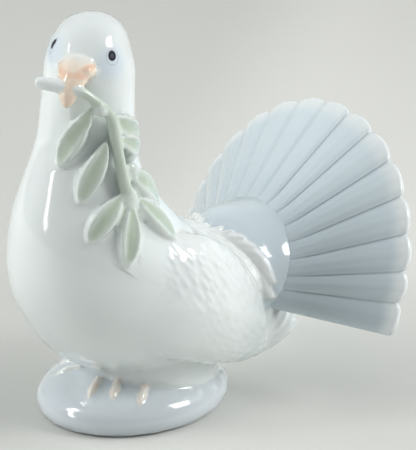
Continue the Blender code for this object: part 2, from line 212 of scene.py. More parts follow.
def body_rings(count=150, sides=128):
    rings = []
    angle = np.linspace(0, math.tau, sides, endpoint=False)[:, None]
    for back_y, back_z, front_y, front_z, half_width, turn in smooth_rows(BODY_STATIONS, count):
        back, front = lift((0, back_y, back_z)), lift((0, front_y, front_z))
        twist = turned(turn)
        half, side = twist @ ((front - back) / 2), twist @ np.array([half_width, 0, 0])
        rings.append((back + front) / 2 + side * np.cos(angle) + half * np.sin(angle))
    return np.array(rings)


# Folded wings and flight feathers. Each station: y, lowest z, highest z, outermost x, half thickness.
WING_STATIONS = (
    (-33.0, 39.0, 49.0, 24.0, 4.0),
    (-29.0, 31.0, 54.0, 28.5, 6.5),
    (-22.0, 25.0, 57.0, 31.5, 8.0),
    (-11.0, 17.5, 59.0, 35.0, 9.0),
    (2.0, 12.0, 58.5, 37.0, 9.5),
    (17.0, 6.5, 54.0, 37.0, 10.0),
    (30.0, 3.0, 45.0, 34.0, 10.0),
    (38.0, 2.0, 35.0, 31.0, 9.0),
)
PRIMARY_STATIONS = (
    (22.0, 3.0, 18.0, 28.0, 6.0),
    (34.0, 1.8, 20.0, 27.8, 6.0),
    (41.0, 2.6, 20.0, 27.4, 5.0),
    (47.0, 4.4, 19.5, 26.8, 4.0),
    (52.5, 8.0, 17.5, 26.0, 3.0),
)
WING_FRONT, PRIMARY_TIP = lift((17.0, -37.0, 45.0)), lift((24.6, 56.6, 13.0))
WING_LEAN = 0.11


def side_rings(stations, side, count, lean_share=0, sides=72):
    """Upright rings of a form that lies along the body's side; its upper half may lean in."""
    rings = []
    angle = np.linspace(0, math.tau, sides, endpoint=False)
    for y, low, high, outer, thick in smooth_rows(stations, count):
        lean = np.maximum(lean_share * (high - low) * np.sin(angle), 0)
        x = outer - thick + thick * np.cos(angle) - lean
        z = (low + high) / 2 + (high - low) / 2 * np.sin(angle) + SEAT
        rings.append(np.stack([side * x, np.full(sides, y), z], -1))
    return rings


def add_wings(form):
    for side in (1, -1):
        mirror = np.array([side, 1, 1])
        form.loft(side_rings(WING_STATIONS, side, 90, WING_LEAN), WING_FRONT * mirror)
        form.loft(side_rings(PRIMARY_STATIONS, side, 50), None, PRIMARY_TIP * mirror)


# Mound and thighs
THIGH_WIDTH, THIGH_LENGTH, THIGH_MIDDLE_Y = 49.0, 50.0, 7.5
# Height above the table, and size there.
THIGH_STATIONS = ((8.0, 1.04), (11.5, 1.01), (16.0, 0.985), (22.0, 0.97), (29.7, 0.94))
# The rounded foot: height, and how much of the tuck is left there.
FOOT_STATIONS = ((0.0, 1), (0.9, 0.62), (2.4, 0.22), (3.8, 0.04))


def dome_height(share):
    """The mound's height where its ring has shrunk to this share."""
    return MOUND_EDGE + (MOUND_HEIGHT - MOUND_EDGE) * share


def mound_rings(rows=30):
    """The mound's rings: a tucked foot, then an elliptical dome."""
    tuck = MOUND_TUCK / (MOUND_WIDTH / 2)
    levels = [(height, 1 - tuck * left) for height, left in FOOT_STATIONS]
    levels += [(dome_height(math.sin(a)), math.cos(a)) for a in np.linspace(0, math.pi / 2, rows)[:-1]]
    return [oval(MOUND_WIDTH / 2 * size, MOUND_LENGTH / 2 * size, 0, height) for height, size in levels]


def thigh_rings():
    half_width, half_length = THIGH_WIDTH / 2, THIGH_LENGTH / 2
    levels = smooth_rows(THIGH_STATIONS, 24)
    return [oval(half_width * size, half_length * size, THIGH_MIDDLE_Y, height) for height, size in levels]


# Feet. Each toe: x and y of its root, and its heading outwards from straight ahead, in degrees.
TOES = ((5.8, -18.0, 35), (11.2, -13.2, 43), (18.4, -6.2, 41))
TOE_DIAMETER, TOE_LENGTH, TOE_ROOT_RISE = 2.6, 9.2, 12.0
# The left foot's toes are painted, the right ones only faintly.
TOE_PEACH = {1: 0.55, -1: 0.12}


def toe_rings(x, y, heading, side):
    """A knuckled toe that follows the mound's dome."""
    up = np.array([0, 0, 1.0])
    way = turned(side * heading) @ np.array([0, -1.0, 0])
    root = np.array([side * x, y, 0.0])
    side_way = np.cross(way, up)
    angle = np.linspace(0, math.tau, 24, endpoint=False)[:, None]
    rings = []
    for u in np.linspace(0, 1, 24):
        place = root + way * TOE_LENGTH * u
        rho = math.hypot(place[0] / (MOUND_WIDTH / 2), place[1] / (MOUND_LENGTH / 2))
        place[2] = dome_height(math.sqrt(max(0, 1 - rho * rho))) + TOE_DIAMETER * 0.18
        size = TOE_DIAMETER / 2 * (1 + 0.14 * math.cos(math.tau * 1.5 * u)) * (1 - 0.4 * u**6)
        rings.append(place + (side_way * np.cos(angle) + up * np.sin(angle)) * size)
    tip = place + way * TOE_DIAMETER * 0.35 - up * TOE_DIAMETER * 0.15
    return rings, root + up * TOE_ROOT_RISE, tip


def add_toes(form, side):
    for toe in TOES:
        form.loft(*toe_rings(*toe, side), tint(peach=TOE_PEACH[side], detail=0.8))


# Head features
HEAD_TURN, HEAD_ROLL = 40, 7
BEAK_ROOT, BEAK_TIP = lift((8.6, -25.0, 122.0)), lift((15.5, -34.6, 109.3))
BEAK_LENGTH, BEAK_WIDTH, BEAK_TIP_WIDTH = 17.8, 12.8, 3.0
BEAK_ROWS = BEAK_SIDES = 48
CERE_WIDTH, CERE_HEIGHT, CERE_DEPTH = 13.6, 5.8, 7.8
# Share of the beak's length, share of its width, depth as a share of its width, rise of its middle.
BEAK_STATIONS = (
    (0.00, 0.92, 0.66, 0.00),
    (0.25, 0.90, 0.66, 0.05),
    (0.45, 0.74, 0.60, 0.08),
    (0.65, 0.48, 0.50, 0.09),
    (0.85, 0.27, 0.36, 0.06),
    (0.97, 0.14, 0.20, 0.02),
)
# Where the mouth's line runs along the beak's two sides, in half turns round it.
MOUTH_LINES = (1.12, 1.88)
# The middle of the reddish crease between the two swellings and the beak.
CREASE = np.array([15.4, -31.6, 133.3])


def head_axes():
    """The way the head looks, the way to its left and the way to its crown."""
    look = turned(HEAD_TURN) @ np.array([0, -1.0, 0])
    left = turned(HEAD_TURN) @ np.array([1.0, 0, 0])
    roll = np.array(Matrix.Rotation(math.radians(HEAD_ROLL), 3, Vector(look)))
    return look, roll @ left, roll @ np.array([0, 0, 1.0])


def beak_axes():
    """The way along the beak, the way to its left and the way to its ridge."""
    look, left, _ = head_axes()
    way = unit(BEAK_TIP - BEAK_ROOT)
    left = unit(left - way * left.dot(way))
    ridge = unit(np.cross(left, way))
    if ridge.dot(look) < 0:
        ridge = -ridge
    return way, left, ridge


def beak_rings():
    way, left, ridge = beak_axes()
    angle = np.linspace(0, math.tau, BEAK_SIDES, endpoint=False)[:, None]
    peak = 1 + 0.12 * np.maximum(0, np.sin(angle)) ** 3
    mouth = 1
    for line in MOUTH_LINES:
        mouth = mouth - 0.10 * bell(angle - math.pi * line, 0.12)
    rings = []
    for along, width, depth, bow in smooth_rows(BEAK_STATIONS, BEAK_ROWS):
        middle = BEAK_ROOT + way * BEAK_LENGTH * along + ridge * BEAK_LENGTH * bow
        half_w = (BEAK_TIP_WIDTH + (BEAK_WIDTH - BEAK_TIP_WIDTH) * width) / 2 * min(1, width * 4)
        ring = left * half_w * np.cos(angle) + ridge * BEAK_WIDTH * depth / 2 * peak * np.sin(angle)
        rings.append(middle + ring * mouth)
    return rings


def add_beak(form):
    way, _, _ = beak_axes()
    peach = 0.25 + 0.75 * smoothstep(0.0, 0.25, np.linspace(0, 1, BEAK_ROWS))
    paint = tint((BEAK_ROWS, BEAK_SIDES), peach=peach[:, None], detail=0.8)
    form.loft(beak_rings(), BEAK_ROOT - way * BEAK_TIP_WIDTH, BEAK_ROOT + way * BEAK_LENGTH, paint)


def add_cere(form, side):
    """One of the two swellings over the beak's root."""
    look, _, _ = head_axes()
    way, left, _ = beak_axes()
    middle = BEAK_ROOT + way * CERE_HEIGHT / 2 + left * side * CERE_WIDTH / 4 + look * CERE_DEPTH / 8
    turn = np.stack([left, look, unit(np.cross(left, look))], -1)
    rings, top, foot = ball(middle, (CERE_WIDTH / 4, CERE_DEPTH / 2, CERE_HEIGHT / 2), 32, 24, turn)
    form.loft(rings, top, foot, tint(peach=1, detail=0.35))


# Each eye: its middle on the head, its side, and half its painted width in metres.
EYE_MARKS = (((13.9, -15.8, 137.0), 1, 0.00160), ((-1.3, -28.8, 139.7), -1, 0.00090))


def eye_places():
    """Each eye's middle, its sideways and upright directions, and its half width."""
    look, left, up = head_axes()
    places = []
    for middle, side, half_width in EYE_MARKS:
        facing = unit(left * side * 0.86 + look * 0.42 + up * 0.25)
        tall = unit(up - facing * up.dot(facing))
        places.append((np.array(middle), np.cross(tall, facing), tall, half_width))
    return places


# Sprig. The stem's path: x, y, z and thickness as a share of its diameter.
STEM_PATH = (
    (5.9, -40.7, 117.0, 0.98),
    (12.5, -34.6, 115.8, 1.25),
    (16.8, -30.1, 114.4, 0.95),
    (18.8, -25.7, 110.8, 0.92),
    (20.0, -20.4, 104.7, 1.00),
    (20.6, -18.8, 96.2, 1.05),
    (22.4, -17.6, 84.4, 1.05),
    (23.6, -16.2, 75.8, 1.30),
)
# Each leaf: its base, its tip, its width's share, and how far it arches off the skin.
LEAVES = (
    ((18.0, -26.2, 109.0), (9.0, -35.0, 86.6), 1.00, 1.6),
    ((19.2, -21.4, 96.1), (18.5, -32.6, 75.5), 1.00, 1.4),
    ((22.8, -18.9, 77.4), (23.8, -32.8, 63.2), 1.00, 0.9),
    ((23.4, -17.4, 74.4), (26.2, -22.0, 65.7), 0.55, 0.4),
    ((23.9, -15.7, 73.6), (31.0, -21.4, 54.0), 1.00, 0.8),
    ((23.0, -12.8, 74.7), (25.6, 2.2, 57.3), 1.00, 0.8),
    ((20.9, -15.2, 85.2), (18.4, 1.4, 69.4), 1.15, 0.9),
    ((19.4, -20.4, 104.6), (13.6, -5.4, 92.6), 1.00, 0.7),
    ((20.2, -17.4, 96.6), (14.4, -5.2, 87.6), 0.90, 0.6),
)
# Thick glaze where the leaves meet the stem: middle and radii.
SPRIG_KNOTS = (
    ((24.2, -16.0, 75.0), (2.2, 3.4, 5.0)),
    ((22.0, -13.6, 84.5), (2.0, 3.0, 3.4)),
    ((20.2, -24.0, 107.6), (1.8, 2.4, 2.6)),
    ((20.6, -11.6, 77.8), (2.4, 3.0, 4.4)),
    ((23.6, -11.2, 69.8), (2.4, 3.6, 3.4)),
    ((17.2, -12.2, 88.8), (2.4, 3.2, 4.2)),
)
STEM_DIAMETER, STEM_ROWS, STEM_SIDES = 4.0, 90, 28
LEAF_WIDTH, LEAF_THICKNESS, LEAF_RIM, LEAF_LIFT, LEAF_CUP, LEAF_RIB = 7.6, 2.6, 0.6, 0.6, 0.75, 0.22
LEAF_ROWS, LEAF_SIDES = 40, 21
# A leaf's edge and underside, round from right to left: shares of its half width and of its depth.
LEAF_WALL = np.array(
    [(1.06, -0.25), (1.10, 0.45), (1.16, 0.8), (0.5, 1.0), (0, 1.0)]
    + [(-0.5, 1.0), (-1.16, 0.8), (-1.10, 0.45), (-1.06, -0.25)]
)
WALL_GREEN = 0.22


def stem_rings():
    """The stem's rings and their paint; its bare end beyond the beak stays white."""
    stations = lift(smooth_rows(STEM_PATH, STEM_ROWS))
    path = stations[:, :3]
    way = unit(np.gradient(path, axis=0))
    side = unit(np.cross(way, np.array([0.3, -0.2, 1.0])))
    other = np.cross(way, side)
    u = np.linspace(0, 1, STEM_ROWS)
    size = STEM_DIAMETER / 2 * (stations[:, 3] + 0.04 * np.sin(u * 31)) * (1 - 0.12 * bell(u, 0.02))
    angle = np.linspace(0, math.tau, STEM_SIDES, endpoint=False)[None, :, None]
    ring = side[:, None] * np.cos(angle) + other[:, None] * np.sin(angle)
    green = np.clip((u - 0.24) / 0.10, 0, 1) * 0.76
    paint = tint((STEM_ROWS, STEM_SIDES), green=green[:, None], detail=0.7)
    return path[:, None] + ring * size[:, None, None], paint


def skin_tree(form):
    """The bare body's surface, in metres, for the leaves to lie on."""
    guide = mesh_from("skin_guide", form.arrays()[0], form.faces)
    tree = BVHTree.FromObject(guide, bpy.context.evaluated_depsgraph_get())
    bpy.data.objects.remove(guide)
    return tree


def nearest_skin(skin, place):
    near, normal, _, _ = skin.find_nearest(Vector(place * MM))
    return np.array(near) / MM, np.array(normal)


def leaf_section(u, low, across):
    """Heights over the leaf's top face, and the depth of its underside, at this share of its length."""
    fade = min(1, u * 5, (1 - u) * 6)
    rim = LEAF_RIM * bell(np.abs(across) - 0.80, 0.15) * fade
    cup = LEAF_CUP * (1 - across**2) * fade
    rib = LEAF_RIB * bell(across, 0.10) * fade
    top = LEAF_THICKNESS * 0.45 * (1 - np.abs(across) ** 6) + rim - cup + rib
    depth = -LEAF_THICKNESS * 0.55 - (max(low - 1.0, 0) if u > 0.35 else 0)
    return top, depth


def add_leaf(form, skin, base, tip, width, arch):
    """A cupped leaf with a raised rim and a midrib, laid over the breast from its base to its tip."""
    base, tip = lift(base), lift(tip)
    foot, out = nearest_skin(skin, base)
    stand = max((base - foot).dot(out), 0)
    way = unit(tip - base)
    across = np.linspace(-1, 1, LEAF_SIDES)
    a = np.concatenate([across, LEAF_WALL[:, 0]])
    rings, paint, ends = [], [], []
    for i in range(LEAF_ROWS + 2):
        u = i / (LEAF_ROWS + 1)
        near, normal = nearest_skin(skin, base + (tip - base) * u)
        low = stand * (1 - u) + LEAF_LIFT + LEAF_THICKNESS / 2 * arch * math.sin(math.pi * min(u * 1.1, 1))
        middle = near + normal * low
        if i in (0, LEAF_ROWS + 1):
            ends.append(middle)
            continue
        half = LEAF_WIDTH / 2 * width * math.sin(math.pi * u**1.15) ** 0.6
        side = unit(np.cross(normal, way))
        top, depth = leaf_section(u, low, across)
        h = np.concatenate([top, np.where(LEAF_WALL[:, 1] < 0, 0.1, LEAF_WALL[:, 1] * depth)])
        rings.append(middle + side * (half * a)[:, None] + normal * h[:, None])
        green = 0.22 + 0.78 * smoothstep(1.05, 0.10, np.abs(across))
        green *= np.clip((1 - u) * 7, 0.3, 1)
        green = np.concatenate([green, np.full(len(LEAF_WALL), WALL_GREEN)])
        paint.append(tint((len(a),), green=green, detail=0.7))
    form.loft(rings, ends[0], ends[1], np.array(paint))


def add_sprig(form, skin):
    rings, paint = stem_rings()
    form.loft(rings, None, None, paint)
    for place, radii in SPRIG_KNOTS:
        form.loft(*ball(lift(place), radii, 32, 20), tint(green=0.35, detail=0.4))
    for leaf in LEAVES:
        add_leaf(form, skin, *leaf)


# Plumage
class Chart:
    """The outermost skin, found by looking at it square on from far outside."""

    def __init__(self, points, faces):
        self.tree = BVHTree.FromPolygons([tuple(p) for p in points], faces)

    def side(self, y, z, side):
        return self.seen(Vector((side * 90, y, z)), Vector((-side, 0, 0)))

    def slant(self, x, y, z):
        """Look down on the back from behind and outside, towards the place given."""
        way = Vector((-0.45 * math.copysign(min(abs(x) / 12, 1), x), -0.35, -0.82)).normalized()
        return self.seen(Vector((x, y, z)) - way * 90, way)

    def nearest(self, place):
        near, normal, _, _ = self.tree.find_nearest(Vector(place))
        near, normal = np.array(near), np.array(normal)
        return near, normal * math.copysign(1, normal.dot(near - [0, near[1], 45]))

    def seen(self, eye, way):
        hit, normal, _, _ = self.tree.ray_cast(eye, way)
        if hit is None:
            return None, None
        return np.array(hit), np.array(normal) * -math.copysign(1, normal.dot(way))


FEATHER_ARC = np.linspace(-1, 1, 13)
FEATHER_UNDERSIDE = np.linspace(1, -1, 7)
FEATHER_ROWS = 18
FEATHER_DETAIL = 0.8
FEATHER_DEPTH = 1.2


def relaxed_rows(rows):
    out = rows.copy()
    out[1:-1] = (rows[:-2] + rows[1:-1] * 2 + rows[2:]) / 4
    return out


def feather_rings(track, width, height, root_sink, lobe):
    """A feather along a track of skin points, rising from under its neighbours to a proud rounded tip."""
    rows = relaxed_rows(relaxed_rows(np.array([[*p, *n] for p, n in track])))
    share = np.sin(np.linspace(0, math.pi / 2, FEATHER_ROWS + 1)) * (len(track) - 1)
    rows = np.stack([np.interp(share, np.arange(len(track)), rows[:, c]) for c in range(6)], -1)
    places, normals = rows[:, :3], unit(rows[:, 3:])
    ways = unit(np.gradient(places, axis=0))
    a = np.concatenate([FEATHER_ARC, FEATHER_UNDERSIDE])
    under = np.full(len(FEATHER_UNDERSIDE), -FEATHER_DEPTH - root_sink)
    crown = 0.12 * height * bell(FEATHER_ARC, 0.16)
    rings = []
    for k in range(1, FEATHER_ROWS + 1):
        u = share[k] / share[-1]
        side = unit(np.cross(normals[k], ways[k]))
        half = width / 2 * (0.72 + 0.28 * math.sin(math.pi * min(u * 1.2, 1)))
        if u > 1 - lobe:
            half *= math.sqrt(max(0.03, 1 - ((u - 1 + lobe) / lobe) ** 2))
        rise = -root_sink + (root_sink + height) * smoothstep(0.0, 0.9, u)
        h = np.concatenate([rise - 0.55 * height * FEATHER_ARC**2 + crown, under])
        rings.append(places[k] + side * (half * a)[:, None] + normals[k] * h[:, None])
    return rings


def add_feather(form, track, width, height, root_sink, lobe):
    """Add a feather, unless its track runs off the skin."""
    if all(place is not None for place, _ in track):
        form.loft(feather_rings(track, width, height, root_sink, lobe), paint=tint(detail=FEATHER_DETAIL))


COVERT_CORNER, COVERT_SLOPE = np.array([6.0, 40.0]), math.radians(-52)
COVERT_SPACING, COVERT_ROW_STEP, COVERT_POINTS = 3.0, 5.0, 8


def covert_path(start, length, rng):
    """A short feather's places on the wing's side, as y and z, heading rearwards and down."""
    path = [start]
    for _ in range(COVERT_POINTS):
        heading = -math.radians(18 + 44 * smoothstep(16, 50, path[-1][1]) + rng.uniform(-3, 3))
        path.append(path[-1] + np.array([math.cos(heading), math.sin(heading)]) * length / COVERT_POINTS)
    return path


def add_coverts(form, chart, side, rng):
    """Rows of small feathers over the rear half of the wing, fading out towards the shoulder."""
    along = np.array([math.cos(COVERT_SLOPE), math.sin(COVERT_SLOPE)])
    across = np.array([-math.sin(COVERT_SLOPE), math.cos(COVERT_SLOPE)])
    for row in range(-7, 9):
        shift = 0.5 if row % 2 else 0
        for column in range(-13, 14):
            place = COVERT_CORNER + along * row * COVERT_ROW_STEP + across * (column + shift) * COVERT_SPACING
            place = place + rng.uniform(-0.8, 0.8, 2)
            length, width = rng.uniform(9.5, 12.5), rng.uniform(3.3, 4.1)
            path = covert_path(place, length, rng)
            y, z = path[-1]
            start = -12 * smoothstep(38, 56, z)
            show = smoothstep(start, start + 16, y) * smoothstep(5, 16, z) * rng.uniform(0.7, 1.0)
            if show < 0.12 or y > 38.5 or z < 6 or z > 68 - 0.25 * y:
                continue
            track = [chart.side(*point, side) for point in path]
            add_feather(form, track, width, (0.28 + 0.34 * smoothstep(36, 56, z)) * show, 0.4, 0.5)


# The tips of the long back feathers that lie over the tail's root: x, y, z and the length.
MANTLE = (
    (0.0, 34.5, 60.5, 14),
    (5.6, 35.6, 60.0, 15),
    (9.8, 36.8, 58.6, 16),
    (13.6, 38.3, 55.8, 17),
    (17.0, 39.6, 52.4, 18),
    (19.8, 41.0, 48.8, 19),
    (22.0, 42.6, 44.8, 19),
    (23.8, 43.8, 40.4, 18),
    (25.0, 43.4, 35.6, 17),
)
MANTLE_RANK_SHIFT = np.array([1.5, -2.5, 0.6])


def add_mantle(form, chart, side):
    """Two ranks of long feathers down one side of the back, the upper rank set further forward."""
    for rank in (1, 0):
        for k, (x, y, z, length) in enumerate(MANTLE):
            if side < 0 and k == 0:
                continue
            turn = min(k / 3, 1)
            back = -unit(np.array([side * 0.50 * turn, 0.97 - 0.47 * turn, -0.15 - 0.58 * turn]))
            shift = MANTLE_RANK_SHIFT * [side, 1, 1]
            tip = np.array([side * x, y, z]) + (back * 5.5 + shift) * rank
            track = []
            for u in np.linspace(0, 1, 11):
                place = tip + back * length * (1 - u)
                near, normal = chart.slant(*place)
                if near is None or np.linalg.norm(near - place) > 9:
                    near, normal = chart.nearest(place)
                track.append((near, normal))
            add_feather(form, track, 4.8 - 0.4 * rank, 1.9 - 0.6 * rank, 0.5, 0.35)


# The folded flight feathers: y and z of each root below the wing, then of its tip.
FLIGHT = (
    (37.5, 16.0, 56.0, 26.4),
    (37.5, 19.4, 54.4, 28.8),
    (37.5, 22.9, 51.6, 30.9),
    (37.5, 26.4, 48.0, 32.6),
    (37.5, 29.9, 44.6, 34.2),
)


def add_flight(form, chart, side):
    for root_y, root_z, tip_y, tip_z in FLIGHT:
        track = []
        for u in np.linspace(0, 1, 12):
            sag = 0.8 * math.sin(math.pi * u)
            track.append(chart.side(root_y + (tip_y - root_y) * u, root_z + (tip_z - root_z) * u - sag, side))
        add_feather(form, track, 3.9, 1.2, 0.0, 0.3)


# Tail
HUMP_MIDDLE, HUMP_RADII = lift((0, 46.2, 30.5)), np.array([24.3, 18.5, 21.5])
FAN_ROOT = lift((0, 34.4, 25.1))
FAN_RADIUS, FAN_SHORTENING = 83.45, 0.13
FAN_LEAN, FAN_SWEEP = math.radians(-18.1), math.radians(28.7)
EDGE_THICKNESS, ROOT_THICKNESS, ROOT_RADIUS, TIP_DEPTH = 3.0, 6.0, 12.0, 3.0
SIDE_ROOT_WIDTH, SIDE_TIP_WIDTH = 5.2, 7.2
# The steps between the feathers from the middle one outwards, in degrees.
FEATHER_STEPS = (11.1, 12.7, 13.0, 12.2, 11.8, 11.1, 8.8)
MIDDLE_FEATHER = len(FEATHER_STEPS)
FAN_ROWS, FAN_RIM_ROWS = 60, 10
# The glazed fillet between the tail's root and the fan: how far it reaches, and its rise on each side.
FILLET, FAN_RISE, HUMP_FLARE = 7.0, 1.0, 3.0
# Relief of a fan feather: the step over its neighbour, the groove, the crown, the shaft and the barbs.
FAN_STEP, FAN_GROOVE, FAN_CROWN, FAN_SHAFT, FAN_BARBS, FAN_BACK_CROWN = 0.24, 0.26, 0.50, 0.20, 0.07, 0.55


def fan_axes():
    """The fan's axis, pointing rearwards, and the way up square to it."""
    along = np.array([0, math.cos(FAN_LEAN), math.sin(FAN_LEAN)])
    return along, np.array([0, -math.sin(FAN_LEAN), math.cos(FAN_LEAN)])


def flared(rings):
    """Spread the tail's root outwards where it nears the fan's face."""
    along, up = fan_axes()
    offset = rings - FAN_ROOT
    out = offset - (offset @ along)[..., None] * along
    rho = np.linalg.norm(out, axis=-1)
    gap = rho * math.sin(FAN_SWEEP) - (offset @ along) * math.cos(FAN_SWEEP) - ROOT_THICKNESS / 2
    share = HUMP_FLARE * np.clip(1 - gap / FILLET, 0, 1.1) ** 3.0 * ((offset @ up) > -6)
    return rings + out / np.maximum(rho, 1)[..., None] * share[..., None]


def fan_columns():
    """Lines from root to rim: angle, place across the feather, spread past its middle line, step height."""
    offsets = np.concatenate([[0], np.cumsum(FEATHER_STEPS)])
    middles = np.concatenate([90 - offsets[::-1], 90 + offsets[1:]])
    edges = (middles[:-1] + middles[1:]) / 2
    outer = FEATHER_STEPS[-1] / 2
    edges = np.concatenate([[middles[0] - outer], edges, [middles[-1] + outer]])
    places = np.sin(np.linspace(-math.pi / 2, math.pi / 2, (16) + 1))
    last = len(middles) - 1
    columns = []
    for f, (middle, low, high) in enumerate(zip(middles, edges, edges[1:])):
        side = 1 if f > MIDDLE_FEATHER else -1
        for q in places[:-1] if f < last else places:
            angle, spread = low + (high - low) * (q + 1) / 2, 0
            if (f == 0 and q < 0) or (f == last and q > 0):
                angle, spread = middle, abs(q) * (1 if f == 0 else -1)
            columns.append((angle, q, spread, abs(q) if f == MIDDLE_FEATHER else side * q))
    return columns


def fan_line(angle, q, spread, outward):
    """One line of the fan: up its face from the root, round the rim and down its back."""
    along, up = fan_axes()
    phi = math.radians(angle)
    out = np.array([math.cos(phi), 0, 0]) + up * math.sin(phi)
    way = out * math.cos(FAN_SWEEP) + along * math.sin(FAN_SWEEP)
    normal = out * math.sin(FAN_SWEEP) - along * math.cos(FAN_SWEEP)
    aside = np.cross(way, normal) * spread
    length = FAN_RADIUS * (1 + FAN_SHORTENING * (math.sin(phi) - 1))
    length -= TIP_DEPTH * (1 - math.sqrt(max(0, 1 - q * q * 0.96)))
    share = np.linspace(0, 1, FAN_ROWS)
    edge = math.sqrt(max(0.02, 1 - max(0, (abs(spread) - 0.72) / 0.28) ** 2)) if spread else 1.0
    half = (ROOT_THICKNESS + (EDGE_THICKNESS - ROOT_THICKNESS) * share) / 2 * edge
    tip = EDGE_THICKNESS / 2
    reach = ROOT_RADIUS + (length - tip - ROOT_RADIUS) * share
    width = SIDE_ROOT_WIDTH + (SIDE_TIP_WIDTH - SIDE_ROOT_WIDTH) * share
    rise = np.minimum(1, share * 3)
    step = FAN_STEP * outward - FAN_GROOVE * bell(1 - abs(q), 0.22)
    blade = FAN_CROWN * (0.6 - q * q) + FAN_SHAFT * bell(q, 0.09) + FAN_BARBS * math.cos(q * 19)
    crest = (step + blade) * rise * edge * (1 - 0.25 * share**4)
    back_crest = FAN_BACK_CROWN * (0.5 - q * q) * rise * edge
    place = FAN_ROOT + way * reach[:, None] + aside * width[:, None]
    away = (np.linalg.norm((place + normal * half[:, None] - HUMP_MIDDLE) / HUMP_RADII, axis=1) - 1) * 20
    near = np.clip(1 - (away - 3) / FILLET, 0, 1.1)
    crest = crest * (1 - 0.6 * np.minimum(near, 1)) + FAN_RISE * near**2.5
    front = place + normal * (half + crest)[:, None]
    rear = place - normal * (half + back_crest)[:, None]
    turn = np.linspace(0, math.pi, FAN_RIM_ROWS + 2)[1:-1, None]
    middle = place[-1] + normal * ((crest[-1] - back_crest[-1]) / 2)
    thick = half[-1] + (crest[-1] + back_crest[-1]) / 2
    rim = middle + way * (tip * np.sin(turn)) + normal * (thick * np.cos(turn))
    return np.concatenate([front, rim, rear[::-1]])


def fan_faces(n, m):
    """Faces over the fan's lines, along its root and over its two outer edges."""
    grid = np.arange(n * m).reshape(n, m)
    faces = np.stack([grid[:-1, :-1], grid[:-1, 1:], grid[1:, 1:], grid[1:, :-1]], -1).reshape(-1, 4).tolist()
    faces += np.stack([grid[:-1, 0], grid[1:, 0], grid[1:, -1], grid[:-1, -1]], -1).tolist()
    for line, flip in ((grid[0].tolist(), False), (grid[-1].tolist(), True)):
        for k in range(m // 2 - 1):
            quad = [line[k], line[k + 1], line[m - 2 - k], line[m - 1 - k]]
            faces.append(quad[::-1] if flip else quad)
    return faces


def make_fan():
    """The spread tail, with each feather's reach and groove kept for its paint."""
    columns = fan_columns()
    lines = np.array([fan_line(*column) for column in columns])
    n, m, _ = lines.shape
    item = mesh_from("tail_fan", lines.reshape(-1, 3), fan_faces(n, m))
    share = np.linspace(0, 1, FAN_ROWS)
    set_values(item.data, "reach", np.tile(np.concatenate([share, np.ones(FAN_RIM_ROWS), share[::-1]]), n))
    set_values(item.data, "groove", np.repeat([abs(q) for _, q, _, _ in columns], m))
    return item


# Glazing: the forms are joined into one skin, softened and thinned
def coordinates(mesh):
    out = np.empty(len(mesh.vertices) * 3, np.float32)
    mesh.vertices.foreach_get("co", out)
    return out.reshape(-1, 3).astype(float)


def set_coordinates(mesh, co):
    mesh.vertices.foreach_set("co", co.astype(np.float32).ravel())
    mesh.update()


def edges_of(mesh):
    out = np.empty(len(mesh.edges) * 2, np.int32)
    mesh.edges.foreach_get("vertices", out)
    return out.reshape(-1, 2)


def relax(values, edges, rounds, hold=None):
    """Average each point with its neighbours, less where hold is near 1."""
    a, b = edges.T
    size = len(values)
    count = np.bincount(edges.ravel(), minlength=size)[:, None]
    weight = 0.5 if hold is None else 0.5 * (1 - hold)[:, None]
    for _ in range(rounds):
        total = np.zeros_like(values)
        for k in range(values.shape[1]):
            total[:, k] = np.bincount(a, values[b, k], size) + np.bincount(b, values[a, k], size)
        values = values + (total / np.maximum(count, 1) - values) * weight
    return values


def applied(item):
    """Apply the item's modifiers to its mesh."""
    mesh = bpy.data.meshes.new_from_object(item.evaluated_get(bpy.context.evaluated_depsgraph_get()))
    item.modifiers.clear()
    old = item.data
    item.data = mesh
    bpy.data.meshes.remove(old)
    return mesh


def thinned(item, fine):
    """Bring the mesh down to its number of triangles, most where there is no fine relief."""
    group = item.vertex_groups.new(name="coarse")
    for step in range(1, 11):
        chosen = np.flatnonzero(np.round(np.clip(1 - fine, 0, 1) * 10) == step)
        if len(chosen):
            group.add(chosen.tolist(), step / 10, "REPLACE")
    mesh = item.data
    ratio = TRIANGLES / (2 * len(mesh.polygons))
    if ratio < 1:
        thin = item.modifiers.new("thin", "DECIMATE")
        thin.ratio = ratio
        thin.vertex_group = "coarse"
        thin.vertex_group_factor = 0.7
        mesh = applied(item)
    item.vertex_groups.clear()
    return mesh


def glazed(name, form):
    """Join the forms under one glaze: remesh, soften the joins, thin the mesh and carry the paint over."""
    points, _ = form.arrays()
    item = mesh_from(name, points, form.faces)
    remesh = item.modifiers.new("glaze", "REMESH")
    remesh.mode = "VOXEL"
    remesh.voxel_size = VOXEL
    mesh = applied(item)
    co = coordinates(mesh) / MM
    edges = edges_of(mesh)
    paint_at = form.paint_reader()
    fine = np.array([paint_at(p)[-1] for p in co])
    wing_rear = (np.abs(co[:, 1] - 38) < 2.5) & (np.abs(co[:, 0]) > 20) & (co[:, 2] < 52)
    fine[wing_rear] = np.maximum(fine[wing_rear], 0.8)
    fine = relax(fine[:, None], edges, 12)[:, 0]
    co = relax(co, edges, 5)
    co = relax(co, edges, 26, np.clip(fine * 1.1, 0, 1))
    set_coordinates(mesh, co * MM)
    mesh = thinned(item, fine)
    values = np.array([paint_at(p) for p in coordinates(mesh) / MM])
    values = relax(values, edges_of(mesh), 2)
    for k, paint in enumerate(PAINTS[:-1]):
        set_values(mesh, "paint_" + paint, values[:, k])
    mesh.shade_smooth()
    return item


